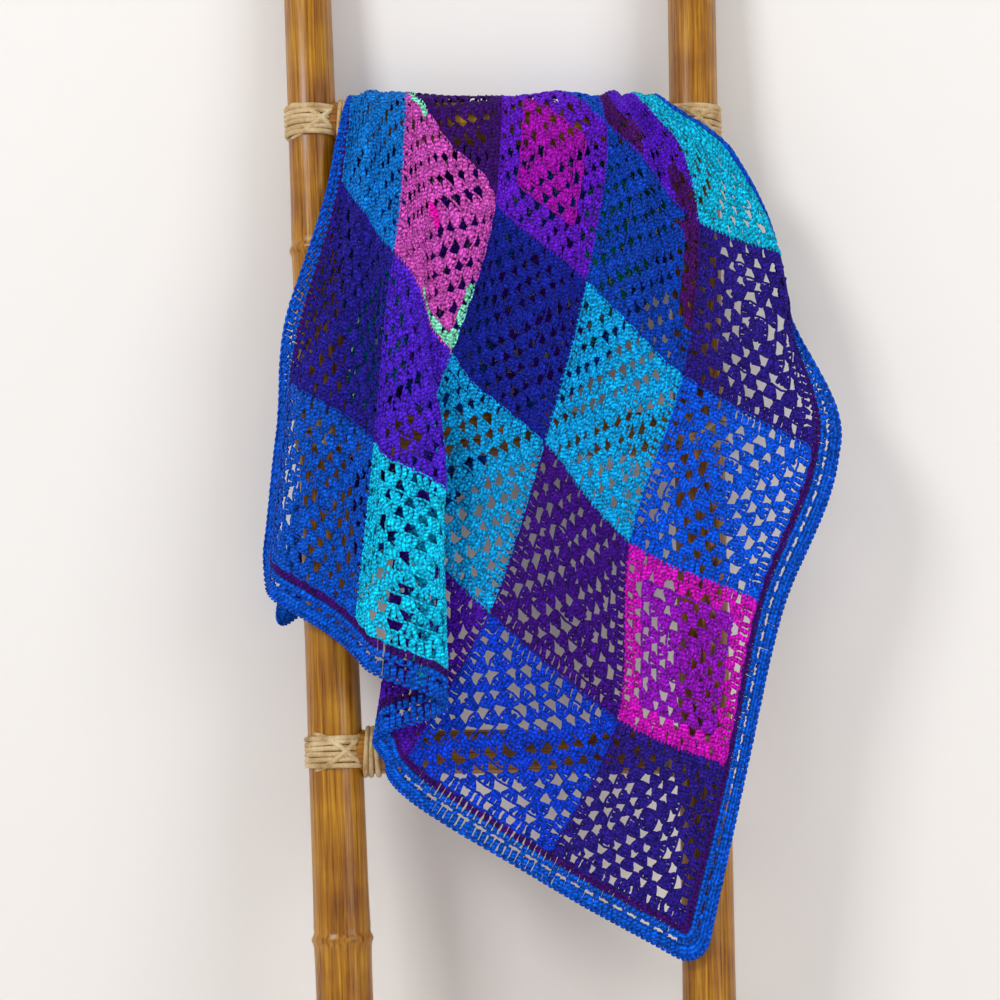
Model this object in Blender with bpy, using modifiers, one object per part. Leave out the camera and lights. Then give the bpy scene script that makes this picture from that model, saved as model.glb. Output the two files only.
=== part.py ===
"""Granny square blanket hung over the top rung of a leaning bamboo ladder.

Frame: X runs to the right, Z up, and the front of the blanket faces -Y. The origin is the middle of
the bounding box's foot, with the ladder's feet on z = 0. The tables give places from the ladder's own
middle line instead, and an empty carries the whole to the origin.
The blanket is one crocheted sheet of 5 by 6 squares with a border worked round it. It hangs askew
over the top rung, so that one corner of its front hem is its lowest point.
Sizes are in metres, and in the short tables in millimetres.
"""

import math
from typing import NamedTuple

import bmesh
import bpy
import numpy as np
from mathutils import Euler, Vector

MM = 0.001
COLLECTION = "granny_square_blanket"

# Blanket
SQUARE = 0.145  # side of one granny square
ACROSS, ALONG = 5, 6  # squares across and along the blanket
EDGE = 0.029 / SQUARE  # width of the border, in squares
THICKNESS = 0.003  # worsted crochet, two strands deep
HOLE = 0.012  # side of a cut gap between the clusters
HOLES_A_SIDE = 3  # gaps cut along each side of a square
JOIN_GAP = 0.0009 / SQUARE  # between the squares and the border, in squares
CORNER_STEPS = 4  # segments in each rounded corner of the border

# Ladder
TOP_RUNG_Z = 1.30  # height of the axis of the top rung
RUNG_SPACING = 0.30
RUNG_COUNT = 4
RUNG_RADIUS = 0.0208
LEAN = math.radians(6.0)  # the ladder leans back at its top
RAIL_TOP = 1.50
CULM_STEPS = 20  # sides of a turned culm
CULM_RIDGE = 0.0018  # how far a bamboo node stands proud
CULM_RIDGE_HALF = 0.006
COPE_GAP = 0.0004  # between a rung's end and the rail that it butts against
LASHING_HEIGHT = 0.030
LASHING_DEPTH = 0.003
LASHING_GAP = 0.0004
FLOOR = 0.0
STANCE = (-0.049, 0.058, FLOOR)  # from the ladder's own middle line to the origin

# Drape
RUNG_BEND = 0.0253  # middle of the cloth from the rung's axis
FRONT_BEND = 0.032  # middle of the cloth in front of the axis plane of the rails
MID_DROP = 0.17  # drop at which the middle values of a fold hold
RAIL_CLEAR = 0.0307  # least distance from a rail's axis to the middle of the cloth at the rung
RAIL_NEAR = 0.040  # distance from a rail's axis past which it is free
CREST = 0.042  # length of cloth from the level of the rung's axis to the top of the bend
CREST_FLAT = 0.5  # share of a fold's depth that is pressed flat on top of the rung
FOLD_BACK = 0.45  # share of a fold's depth that is lost behind the rung
LEAN_BACK = 0.8  # share of a fold's sideways lean that is lost behind the rung
CREST_RISE = 0.45  # share of a fold's depth that shows in the height of the bend


class Seam(NamedTuple):
    """A seam between two columns of squares, in mm, at the row seams 0 (front hem) to 6."""

    across: tuple  # to the right of the ladder's middle
    drop: tuple  # below the axis of the top rung, and past the rung it goes on upwards


class Fold(NamedTuple):
    """One lengthwise fold. Places are in squares from the right edge, depths and leans in mm."""

    name: str
    at_hem: float
    at_rung: float
    half_hem: float  # half width at the hem and at the rung
    half_rung: float
    depth: tuple  # out from the cloth's plane at the hem, in the middle and at the rung
    lean: tuple  # to the right, at the same places
    hem_drop: float  # drop at which the hem's values hold, in metres
    roll: float  # how far the depth is set to the left of the lean
    spread: float  # width of the depth for the width of the lean


class Rail(NamedTuple):
    """A bamboo rail: its axis and radius at the floor and at its top, and its culm nodes."""

    name: str
    side: int
    x_floor: float
    x_top: float
    r_floor: float
    r_top: float
    nodes: tuple
    squeeze_from: float  # how far out the cloth is drawn in where it passes over the rung
    squeeze_reach: float  # how far out it would reach there


SEAMS = (
    Seam((170, 209, 241, 294, 296, 182, 200), (756, 609, 456, 313, 134, -32, -190)),
    Seam((48, 110, 122, 173, 186, 140, 148), (690, 566, 402, 245, 99, -61, -214)),
    Seam((-84, -9, 42, 82, 104, 82, 84), (602, 468, 309, 155, 2, -150, -298)),
    Seam((-93, -94, -52, -7, 2, -6, -10), (540, 377, 224, 78, -78, -226, -370)),
    Seam((-133, -116, -102, -90, -88, -93, -105), (474, 307, 130, -40, -187, -330, -470)),
    Seam((-220, -200, -150, -144, -155, -178, -200), (417, 250, 58, -122, -262, -400, -535)),
)

FOLDS = (
    Fold("left roll", 5.22, 5.22, 0.40, 0.30, (-30, 0, 0), (14, 0, 0), 0.30, 0.0, 1.0),
    Fold("left lobe", 4.66, 4.62, 0.45, 0.30, (6, 14, 18), (0, 0, 0), 0.45, 0.0, 1.0),
    Fold("main ridge", 3.42, 4.06, 0.50, 0.34, (38, 32, 14), (52, 10, 2), 0.36, 0.10, 1.8),
    Fold("hem valley", 2.72, 2.86, 0.45, 0.30, (0, 0, 0), (-22, 0, 0), 0.62, 0.0, 1.0),
    Fold("left lobe of the third square", 3.20, 3.66, 0.30, 0.24, (0, 8, 2), (0, 0, 0), 0.45, 0.0, 1.0),
    Fold("right lobe of the third square", 2.86, 3.28, 0.34, 0.28, (0, 16, 0), (0, 8, 12), 0.40, 0.05, 1.2),
    Fold("middle lobe", 1.82, 2.47, 0.50, 0.40, (4, 12, 16), (0, 0, 0), 0.60, 0.0, 1.0),
    Fold("ruffle", 1.22, 1.66, 0.45, 0.30, (2, 14, 20), (0, 0, 0), 0.60, 0.0, 1.0),
    Fold("right lobe", 0.66, 0.85, 0.45, 0.40, (4, 14, 12), (0, 0, 4), 0.60, 0.04, 1.1),
    Fold("turned corner", 1.00, 1.05, 0.45, 0.60, (0, 0, 0), (0, 0, 5), 0.33, 0.0, 1.0),
    Fold("right roll", -0.20, -0.20, 0.50, 0.60, (0, -32, 6), (0, -52, -4), 0.31, 0.0, 1.0),
)

RAILS = (
    Rail("left_rail", -1, -0.124, -0.190, 0.0284, 0.0225, (1.184, 0.857, 0.530, 0.205), 0.140, 0.160),
    Rail("right_rail", 1, 0.200, 0.185, 0.0256, 0.0230, (1.062, 0.742, 0.450, 0.080), 0.080, 0.192),
)


def rail_x(rail, z):
    """Where a rail's axis is across the ladder, at a height."""
    return rail.x_floor + (rail.x_top - rail.x_floor) * z / RAIL_TOP


def rail_radius(rail, z):
    """A rail's radius at a height."""
    return rail.r_floor + (rail.r_top - rail.r_floor) * z / RAIL_TOP


def plane_y(z):
    """Where the axis plane of the leaning ladder is, at a height."""
    return (z - TOP_RUNG_Z) * math.tan(LEAN)


# The drape: from a place on the flat blanket to a point in space.


def smooth(t):
    """An even step from 0 to 1."""
    t = np.clip(t, 0, 1)
    return t * t * (3 - 2 * t)


def through(rows, t, pick=None):
    """A smooth curve through the rows of a table, straight past its ends."""
    last = len(rows) - 1
    i = np.clip(np.floor(t).astype(int), 0, last - 1)
    f = t - i
    g = np.clip(f, 0, 1)
    more = np.concatenate([2 * rows[:1] - rows[1:2], rows, 2 * rows[-1:] - rows[-2:-1]])
    a, b, c, d = (more[i + k] if pick is None else more[i + k, pick] for k in range(4))
    curve = 2 * b + (c - a) * g + (2 * a - 5 * b + 4 * c - d) * g**2 + (3 * b - a - 3 * c + d) * g**3
    return 0.5 * (curve + (f - g) * np.where(f < 0, c - a, d - b))


def from_seams(column, u, v):
    """Reads one column of the seam table at places u across and v along, in metres."""
    table = np.array([getattr(seam, column) for seam in SEAMS], float) * MM
    rows = np.stack([through(row, v) for row in table])
    return through(rows, u, np.arange(len(u)))


def along_fold(height, values, hem_drop):
    """A fold's size, from its three values down the cloth."""
    hem, middle, rung = values
    low = middle + (hem - middle) * smooth((height - MID_DROP) / (hem_drop - MID_DROP))
    high = rung + (middle - rung) * smooth(height / MID_DROP)
    return np.where(height > MID_DROP, low, high) * MM


def folded(u, height):
    """The depth and the sideways lean that all the folds give together."""
    depth, lean = np.zeros_like(u), np.zeros_like(u)
    for fold in FOLDS:
        down = smooth(height / fold.hem_drop)
        half = fold.half_rung + (fold.half_hem - fold.half_rung) * down
        off = u - (fold.at_rung + (fold.at_hem - fold.at_rung) * down)
        out = smooth(1 - np.abs(off - fold.roll) / (half * fold.spread))
        side = smooth(1 - np.abs(off + fold.roll) / half)
        depth = depth + out * along_fold(height, fold.depth, fold.hem_drop)
        lean = lean + side * along_fold(height, fold.lean, fold.hem_drop)
    return depth, lean


def off_the_rails(x, y, over):
    """Draws the cloth in where it passes over the rung, and holds it off the rails beside it."""
    gone = 1 - smooth((over - 0.105) / 0.04)
    near = smooth((over + 0.03) / 0.065) * gone
    beside = smooth((over + 0.06) / 0.03) * gone
    for rail in RAILS:
        axis = rail_x(rail, TOP_RUNG_Z)
        room = abs(axis) - RAIL_CLEAR - rail.squeeze_from
        past = np.clip(x * rail.side - rail.squeeze_from, 0, None)
        x = x - rail.side * near * past * (1 - room / (rail.squeeze_reach - rail.squeeze_from))
        off = np.hypot(x - axis, y)
        held = RAIL_CLEAR + (RAIL_NEAR - RAIL_CLEAR) * np.clip(off / RAIL_NEAR, 0, 1) ** 3
        more = beside * np.clip(held / np.maximum(off, 1e-6) - 1, 0, None)
        x, y = x + more * (x - axis), y + more * y
    return x, y


def drape(u, v):
    """The middle of the hanging cloth at u squares from the right edge and v from the front hem."""
    u, v = np.asarray(u, float), np.asarray(v, float)
    x, drop = from_seams("across", u, v), from_seams("drop", u, v)
    height = np.abs(drop + CREST) - CREST
    depth, lean = folded(u, height)
    over = -drop
    behind = smooth(over / 0.06)
    depth = depth * (1 - FOLD_BACK * behind) * (1 - CREST_FLAT * smooth(over / 0.02) * (1 - behind))
    x = x + lean * (1 - LEAN_BACK * behind)
    bend = RUNG_BEND + (FRONT_BEND - RUNG_BEND) * smooth((height + 0.01) / 0.05)
    bend = np.where(over > CREST, RUNG_BEND, bend)
    turn = np.clip(over / RUNG_BEND, 0, math.pi)
    y = -(bend + depth) * np.cos(turn)
    z = np.where(over < 0, over, (RUNG_BEND + CREST_RISE * depth) * np.sin(turn))
    z = np.where(over > math.pi * RUNG_BEND, math.pi * RUNG_BEND - over, z)
    x, y = off_the_rails(x, y, over)
    y = y + np.where(over < 0, over * math.tan(LEAN), 0)
    return np.stack([x, y, TOP_RUNG_Z + z], -1)


# Objects


def material(name, colour, roughness):
    """A Principled material in one colour."""
    made = bpy.data.materials.new(name)
    made.use_nodes = True
    shader = made.node_tree.nodes["Principled BSDF"]
    shader.inputs["Base Color"].default_value = (*colour, 1.0)
    shader.inputs["Roughness"].default_value = roughness
    shader.inputs["Metallic"].default_value = 0.0
    return made


def keep(made, name, finish, home):
    """Names an object, gives it its material and moves it to its collection."""
    made.name = name
    made.data.name = name
    made.data.materials.clear()
    made.data.materials.append(finish)
    for other in list(made.users_collection):
        other.objects.unlink(made)
    home.objects.link(made)
    return made


def lines_across_square():
    """The places of the grid lines in one square, from 0 to 1, with a gap's cell between them."""
    hole = HOLE / SQUARE
    third = 1 / HOLES_A_SIDE
    lines = []
    for k in range(HOLES_A_SIDE):
        middle = (k + 0.5) * third
        lines += [k * third, middle - hole / 2, middle + hole / 2]
    return lines


def grid_place(index):
    """The place in squares of a grid line."""
    lines = lines_across_square()
    square, line = divmod(index, len(lines))
    return square + lines[line]


def is_hole(column, row):
    """Whether a cell of the grid is one of the gaps that are cut through."""
    return column % 3 == 1 and row % 3 == 1


def across_cloth(u, v):
    """The direction through the cloth at each place, square to its surface."""
    step = 0.01
    by_u = drape(u + step, v) - drape(u - step, v)
    by_v = drape(u, v + step) - drape(u, v - step)
    way = np.cross(by_u, by_v)
    return way / np.linalg.norm(way, axis=1, keepdims=True)


def drape_sheet(shape, places):
    """Hangs a flat sheet, whose points are given by their places, and gives it its thickness."""
    mark = shape.verts.layers.int.new("place")
    u, v = np.array(places).T
    middle, way = drape(u, v), across_cloth(u, v)
    for k, point in enumerate(shape.verts):
        point[mark] = k
    extruded = bmesh.ops.extrude_face_region(shape, geom=shape.faces[:])["geom"]
    far_side = {part for part in extruded if isinstance(part, bmesh.types.BMVert)}
    for point in shape.verts:
        k = point[mark]
        side = 1 if point in far_side else -1
        point.co = Vector(middle[k] + side * way[k] * THICKNESS / 2)
    bmesh.ops.recalc_face_normals(shape, faces=shape.faces)
    bmesh.ops.triangulate(shape, faces=shape.faces[:], quad_method="SHORT_EDGE")
    if shape.calc_volume(signed=True) < 0:
        bmesh.ops.reverse_faces(shape, faces=shape.faces[:])


def squares_panel(home, finish):
    """The squares of the blanket: a grid with its gaps taken out, draped and thickened."""
    cells = 3 * HOLES_A_SIDE
    columns, rows = ACROSS * cells, ALONG * cells
    bpy.ops.mesh.primitive_grid_add(x_subdivisions=columns, y_subdivisions=rows, size=2)
    made = bpy.context.active_object
    shape = bmesh.new()
    shape.from_mesh(made.data)
    gaps = []
    for face in shape.faces:
        middle = face.calc_center_median()
        column = int((middle.x + 1) / 2 * columns)
        row = int((middle.y + 1) / 2 * rows)
        if is_hole(column, row):
            gaps.append(face)
    bmesh.ops.delete(shape, geom=gaps, context="FACES")
    places = []
    for point in shape.verts:
        column, row = (point.co.x + 1) / 2 * columns, (point.co.y + 1) / 2 * rows
        places.append((grid_place(round(column)), grid_place(round(row))))
    drape_sheet(shape, places)
    shape.to_mesh(made.data)
    shape.free()
    return keep(made, "crochet_squares", finish, home)


def edge_walk():
    """Walks round the squares: each stop's place on their edge and its way out, corners rounded."""
    cells = 3 * HOLES_A_SIDE
    across = [grid_place(k) for k in range(ACROSS * cells + 1)]
    along = [grid_place(k) for k in range(ALONG * cells + 1)]
    sides = (
        ([(u, 0) for u in across], -90),
        ([(ACROSS, v) for v in along], 0),
        ([(u, ALONG) for u in reversed(across)], 90),
        ([(0, v) for v in reversed(along)], 180),
    )
    stops = []
    for places, heading in sides:
        stops += [(u, v, heading) for u, v in places]
        corner = places[-1]
        for k in range(1, CORNER_STEPS):
            stops.append((*corner, heading + 90 * k / CORNER_STEPS))
    return stops


def border_strip(home, finish):
    """The border: a ring from just off the squares to the rounded outer edge, draped alike."""
    stops = edge_walk()
    bpy.ops.mesh.primitive_circle_add(vertices=len(stops), radius=1, fill_type="NOTHING")
    made = bpy.context.active_object
    shape = bmesh.new()
    shape.from_mesh(made.data)
    inner = list(shape.verts)
    extruded = bmesh.ops.extrude_edge_only(shape, edges=shape.edges[:])["geom"]
    outer = [part for part in extruded if isinstance(part, bmesh.types.BMVert)]
    reach = {point: JOIN_GAP for point in inner}
    reach.update({point: EDGE for point in outer})
    places = []
    for point in shape.verts:
        turn = math.atan2(-point.co.x, point.co.y) % (2 * math.pi)
        u, v, heading = stops[round(turn / (2 * math.pi) * len(stops)) % len(stops)]
        out = Vector((math.cos(math.radians(heading)), math.sin(math.radians(heading))))
        places.append((u + reach[point] * out.x, v + reach[point] * out.y))
    drape_sheet(shape, places)
    shape.to_mesh(made.data)
    shape.free()
    return keep(made, "crochet_border", finish, home)


def turned(profile, steps):
    """Turns a profile, listed from its top to its bottom, about Z."""
    mesh = bpy.data.meshes.new("profile")
    mesh.from_pydata([(r, 0, z) for r, z in profile], [(k, k + 1) for k in range(len(profile) - 1)], [])
    made = bpy.data.objects.new("profile", mesh)
    bpy.context.scene.collection.objects.link(made)
    screw = made.modifiers.new("turn", "SCREW")
    screw.steps = steps
    screw.render_steps = steps
    screw.use_merge_vertices = True
    screw.merge_threshold = 0.00001
    bpy.context.view_layer.update()
    seen = made.evaluated_get(bpy.context.evaluated_depsgraph_get())
    whole = bpy.data.meshes.new_from_object(seen)
    made.modifiers.clear()
    made.data = whole
    bpy.data.meshes.remove(mesh)
    return made


def axis_of(rail):
    """The foot of a rail's axis on the floor, and the turn that stands a culm along it."""
    foot = Vector((rail.x_floor, plane_y(0), 0))
    top = Vector((rail.x_top, plane_y(RAIL_TOP), RAIL_TOP))
    turn = (top - foot).to_track_quat("Z", "Y")
    return foot, top, turn


def culm_profile(rail, proud=0.0, below=0.04):
    """A rail's profile from top to bottom, along its own axis, with its nodes standing proud."""
    length = (axis_of(rail)[1] - axis_of(rail)[0]).length
    edge = 0.0015
    points = [(0, length), (rail_radius(rail, RAIL_TOP) - edge + proud, length)]
    points.append((rail_radius(rail, RAIL_TOP) + proud, length - edge))
    for z in rail.nodes:
        r = rail_radius(rail, z) + proud
        points += [(r, z + CULM_RIDGE_HALF), (r + CULM_RIDGE, z), (r, z - CULM_RIDGE_HALF)]
    points += [(rail_radius(rail, 0) + proud, -below), (0, -below)]
    return points


def stand(made, rail):
    """Stands a culm on its place on the floor, leaning with the ladder."""
    foot, _, turn = axis_of(rail)
    made.rotation_mode = "QUATERNION"
    made.rotation_quaternion = turn
    made.location = foot
    bpy.context.view_layer.update()


def cut_at_floor(made):
    """Saws the foot of a culm off level with the floor."""
    shape = bmesh.new()
    shape.from_mesh(made.data)
    to_own = made.matrix_world.inverted()
    up = to_own.to_3x3() @ Vector((0, 0, 1))
    geometry = shape.verts[:] + shape.edges[:] + shape.faces[:]
    cut = bmesh.ops.bisect_plane(
        shape, geom=geometry, dist=1e-7, plane_co=to_own @ Vector((0, 0, FLOOR)), plane_no=up,
        clear_inner=True,
    )
    rim = [part for part in cut["geom_cut"] if isinstance(part, bmesh.types.BMEdge)]
    bmesh.ops.holes_fill(shape, edges=rim)
    shape.to_mesh(made.data)
    shape.free()


def rail_object(rail, home, finish):
    """One bamboo rail, with its foot sawn level."""
    made = turned(culm_profile(rail), CULM_STEPS)
    stand(made, rail)
    cut_at_floor(made)
    made.data.shade_smooth()
    made.data.set_sharp_from_angle(angle=math.radians(40))
    return keep(made, rail.name, finish, home)


def cutter(made, name, shed):
    """Puts a shape away as a tool that cuts and doesn't show."""
    made.name = name
    made.hide_render = True
    made.display_type = "WIRE"
    for other in list(made.users_collection):
        other.objects.unlink(made)
    shed.objects.link(made)
    return made


def take_away(made, tool):
    """Cuts a tool out of an object."""
    cut = made.modifiers.new("cut", "BOOLEAN")
    cut.operation = "DIFFERENCE"
    cut.solver = "EXACT"
    cut.object = tool


def rung_level(number):
    """The height of a rung's axis, counted from the top."""
    return TOP_RUNG_Z - RUNG_SPACING * number


def rung_bar(z, radius, sides):
    """A plain bar from one rail's axis to the other's, at a rung's height."""
    left, right = (rail_x(rail, z) for rail in RAILS)
    bpy.ops.mesh.primitive_cylinder_add(
        vertices=sides, radius=radius, depth=right - left,
        location=((left + right) / 2, plane_y(z), z), rotation=Euler((0, math.pi / 2, 0)),
    )
    return bpy.context.active_object


def rung_object(number, fat_rails, home, finish):
    """A rung, its ends coped to fit round the rails."""
    made = rung_bar(rung_level(number), RUNG_RADIUS, CULM_STEPS)
    for tool in fat_rails:
        take_away(made, tool)
    made.data.shade_smooth()
    made.data.set_sharp_from_angle(angle=math.radians(40))
    return keep(made, f"rung_{number + 1}", finish, home)


def lashing_object(rail, number, home, shed, finish):
    """The rattan lashing round a rail, open where the rung passes through it."""
    z = rung_level(number)
    inner = rail_radius(rail, z) + LASHING_GAP
    outer = inner + LASHING_DEPTH
    half = LASHING_HEIGHT / 2
    profile = [(inner, half), (outer - 0.001, half), (outer, half - 0.002), (outer, 0.002 - half)]
    profile += [(outer - 0.001, -half), (inner, -half), (inner, half)]
    made = turned(profile, CULM_STEPS)
    _, _, turn = axis_of(rail)
    made.rotation_mode = "QUATERNION"
    made.rotation_quaternion = turn
    made.location = (rail_x(rail, z), plane_y(z), z)
    side = "left" if rail.name.startswith("left") else "right"
    tool = cutter(rung_bar(z, RUNG_RADIUS + LASHING_GAP, CULM_STEPS), f"rung_room_{number}_{side}", shed)
    take_away(made, tool)
    return keep(made, f"lashing_{side}_{number + 1}", finish, home)


def ladder(home, shed):
    """The bamboo ladder: two rails, the rungs and the lashings at their ends."""
    bamboo = material("bamboo", (0.50, 0.25, 0.07), 0.35)
    rattan = material("rattan", (0.62, 0.45, 0.25), 0.7)
    fat_rails = []
    for rail in RAILS:
        rail_object(rail, home, bamboo)
        fat = turned(culm_profile(rail, proud=COPE_GAP), CULM_STEPS)
        stand(fat, rail)
        fat_rails.append(cutter(fat, f"{rail.name}_room", shed))
    for number in range(RUNG_COUNT):
        rung_object(number, fat_rails, home, bamboo)
        for rail in RAILS:
            lashing_object(rail, number, home, shed, rattan)


def blanket(home):
    """The crocheted squares and their border."""
    squares_panel(home, material("crochet_squares", (0.03, 0.08, 0.45), 0.85))
    border_strip(home, material("crochet_border", (0.01, 0.12, 0.62), 0.85))


def main():
    """Clears the scene and builds the blanket and its ladder."""
    for old in list(bpy.data.objects):
        bpy.data.objects.remove(old)
    home = bpy.data.collections.new(COLLECTION)
    shed = bpy.data.collections.new("cutters")
    bpy.context.scene.collection.children.link(home)
    bpy.context.scene.collection.children.link(shed)
    ladder(home, shed)
    blanket(home)
    carrier = bpy.data.objects.new(COLLECTION, None)
    carrier.location = STANCE
    for made in [*home.objects, *shed.objects]:
        made.parent = carrier
    home.objects.link(carrier)


main()
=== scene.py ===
"""Looks of a granny square blanket hung askew over the top rung of a leaning bamboo ladder.

The crochet is made stitch by stitch in the flat, in millimetres across and along the blanket, and is
then hung on the same drape as the frame's cloth: every strand keeps its own thickness and follows the
folds. The ladder gets turned culms with real nodes and wound rattan lashings.
"""

import logging
import math
from dataclasses import dataclass, field
from enum import Enum

import bpy
import numpy as np
from mathutils import Matrix, Quaternion, Vector


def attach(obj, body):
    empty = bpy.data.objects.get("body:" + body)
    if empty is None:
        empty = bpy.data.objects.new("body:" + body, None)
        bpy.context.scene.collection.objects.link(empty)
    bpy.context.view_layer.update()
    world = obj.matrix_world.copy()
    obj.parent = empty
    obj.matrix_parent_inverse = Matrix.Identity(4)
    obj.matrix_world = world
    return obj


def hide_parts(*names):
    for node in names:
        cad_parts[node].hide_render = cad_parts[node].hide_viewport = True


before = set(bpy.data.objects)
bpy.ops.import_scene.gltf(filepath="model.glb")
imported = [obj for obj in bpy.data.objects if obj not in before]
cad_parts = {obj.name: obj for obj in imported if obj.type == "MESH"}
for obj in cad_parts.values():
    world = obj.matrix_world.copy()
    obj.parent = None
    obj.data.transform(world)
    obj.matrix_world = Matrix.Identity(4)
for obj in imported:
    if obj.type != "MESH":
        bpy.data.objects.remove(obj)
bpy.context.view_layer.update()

logging.basicConfig(level=logging.INFO, format="%(message)s")
log = logging.getLogger("blanket")

MM = 0.001
STANCE = np.array((-0.049, 0.058, 0.0))  # from the ladder's own middle line to the frame's origin
SQUARE = 145.0  # side of one granny square, in mm
ACROSS, ALONG = 5, 6  # squares across and along the blanket
TOP_RUNG_Z = 1.30
RUNG_SPACING = 0.30
LEAN = math.radians(6.0)  # of the ladder, from upright
RAIL_TOP = 1.50
NOISE_LOW, NOISE_HIGH = 0.3, 0.7  # most of a noise texture's values lie between these
UNEVEN_DYE = 0.10  # how much one strand's strength of colour differs from the next


# ---------------------------------------------------------------- colours and nodes


def linear(hex_colour: str) -> tuple[float, float, float, float]:
    """Turns an sRGB hex colour to linear.

    Args:
        hex_colour: six hex digits.
    Returns:
        Linear red, green and blue, and a full alpha.
    """
    channels = [int(hex_colour[k:k + 2], 16) / 255 for k in (0, 2, 4)]
    red, green, blue = (c / 12.92 if c <= 0.04045 else ((c + 0.055) / 1.055) ** 2.4 for c in channels)
    return red, green, blue, 1.0


def node(tree: bpy.types.NodeTree, kind: str, settings: dict | None = None,
         **links: object) -> bpy.types.Node:
    """Adds a node with its settings and its inputs.

    Args:
        tree: the material's node tree.
        kind: the node's type, less the ShaderNode before it.
        settings: the node's own properties, and as stops the places and sRGB hex colours of a ramp.
        links: an input's name, or in_ and its number, with a value or the output that feeds it.
    Returns:
        The new node.
    """
    made = tree.nodes.new(f"ShaderNode{kind}")
    for key, value in (settings or {}).items():
        if key != "stops":
            setattr(made, key, value)
            continue
        elements = made.color_ramp.elements
        while len(elements) < len(value):
            elements.new(0.5)
        for element, (place, hex_colour) in zip(elements, value):
            element.position = place
            element.color = linear(hex_colour)
    for key, value in links.items():
        name = int(key[3:]) if key.startswith("in_") else key.replace("_", " ")
        socket = made.inputs[name]
        if isinstance(value, bpy.types.NodeSocket):
            tree.links.new(value, socket)
        else:
            socket.default_value = value
    return made


def fresh_material(name: str) -> tuple[bpy.types.Material, bpy.types.NodeTree, bpy.types.Node]:
    """Starts a node material.

    Args:
        name: the material's name.
    Returns:
        The material, its node tree and its shader.
    """
    made = bpy.data.materials.new(name)
    made.use_nodes = True
    return made, made.node_tree, made.node_tree.nodes["Principled BSDF"]


# ---------------------------------------------------------------- finishes


@dataclass(frozen=True)
class BrushedYarn:
    """Worsted acrylic yarn, brushed in use: soft, heathered, with a bloom of loose fibres."""

    name: str
    ply_pitch_mm: float = 3.4  # length of one turn of the plies, a little coarse so that it shows
    fleck_mm: float = 2.6  # size of the lighter and darker tufts
    fibre_mm: float = 1.0  # loose fibres, drawn coarse so that they show
    fibre_drawn: tuple[float, float, float] = (0.3, 7.0, 160.0)  # along the strand, round it and upwards
    fleck_shade: tuple[float, float] = (0.42, 1.62)  # darkest and lightest, as shares of the dye
    fibre_shade: tuple[float, float] = (0.62, 1.4)
    # painted shade in the groove between plies and painted highlight on their crests, as shares of the dye
    ply_painted_shade_and_highlight: tuple[float, float] = (0.5, 1.12)
    ply_light: float = 0.6  # how far out of its groove a ply is where its painted highlight is full, from -1 to 1
    bump_mm: float = 0.9
    roughness: float = 0.92
    specular: float = 0.12  # brushed yarn has hardly any gloss
    sheen: float = 0.03
    sheen_roughness: float = 0.45

    def make(self) -> bpy.types.Material:
        """Builds the material, which takes its colour from the stitch that it is on.

        Returns:
            The material.
        """
        material, tree, shader = fresh_material(self.name)
        times = {"operation": "MULTIPLY"}
        dye = node(tree, "VertexColor", {"layer_name": "dye"})
        place = node(tree, "TexCoord").outputs["Object"]
        fleck = node(tree, "TexNoise", Vector=place, Scale=1 / (self.fleck_mm * MM), Detail=2.0)
        strand = node(tree, "UVMap", {"uv_map": "strand"}).outputs[0]
        along, around, _ = node(tree, "SeparateXYZ", in_0=strand).outputs
        upwards = node(tree, "SeparateXYZ", in_0=place).outputs[2]
        drawn = [node(tree, "Math", times, in_0=way, in_1=by).outputs[0]
                 for way, by in zip((along, around, upwards), self.fibre_drawn)]
        lengthwise = node(tree, "CombineXYZ", in_0=drawn[0], in_1=drawn[1], in_2=drawn[2])
        fibre = node(tree, "TexNoise", Vector=lengthwise.outputs[0], Scale=1 / self.fibre_mm, Detail=2.0)
        turns = node(tree, "Math", {"operation": "MULTIPLY_ADD"}, in_0=along, in_1=1 / self.ply_pitch_mm,
                     in_2=around).outputs[0]
        angle = node(tree, "Math", times, in_0=turns, in_1=2 * math.pi).outputs[0]
        ply = node(tree, "Math", {"operation": "SINE"}, in_0=angle).outputs[0]
        # Fleck and fibre give the yarn's own tone. The ply wave paints shade in the groove between plies and
        # a highlight on their crests.
        tones_and_painted_ply_shade = [node(tree, "MapRange", Value=value, in_1=low, in_2=high, in_3=dark, in_4=light)
                  for value, low, high, (dark, light) in (
                      (fleck.outputs["Fac"], NOISE_LOW, NOISE_HIGH, self.fleck_shade),
                      (fibre.outputs["Fac"], NOISE_LOW, NOISE_HIGH, self.fibre_shade),
                      (ply, -1.0, self.ply_light, self.ply_painted_shade_and_highlight))]
        tone_and_painted_ply_shade = tones_and_painted_ply_shade[0].outputs[0]
        for other in tones_and_painted_ply_shade[1:]:
            tone_and_painted_ply_shade = node(tree, "Math", times, in_0=tone_and_painted_ply_shade, in_1=other.outputs[0]).outputs[0]
        dye_with_tone_and_painted_shade = node(tree, "VectorMath", {"operation": "SCALE"}, in_0=dye.outputs["Color"], Scale=tone_and_painted_ply_shade)
        tree.links.new(dye_with_tone_and_painted_shade.outputs[0], shader.inputs["Base Color"])
        height = node(tree, "Math", {"operation": "MULTIPLY_ADD"}, in_0=ply, in_1=0.25,
                      in_2=fibre.outputs["Fac"])
        bump = node(tree, "Bump", Height=height.outputs[0], Strength=0.9, Distance=self.bump_mm * MM)
        tree.links.new(bump.outputs[0], shader.inputs["Normal"])
        shader.inputs["Roughness"].default_value = self.roughness
        shader.inputs["Specular IOR Level"].default_value = self.specular
        shader.inputs["Sheen Weight"].default_value = self.sheen
        shader.inputs["Sheen Roughness"].default_value = self.sheen_roughness
        return material


class Grain(Enum):
    """Which way the fibres of a bamboo culm run."""

    UPRIGHT = "upright"
    ACROSS = "across"


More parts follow.
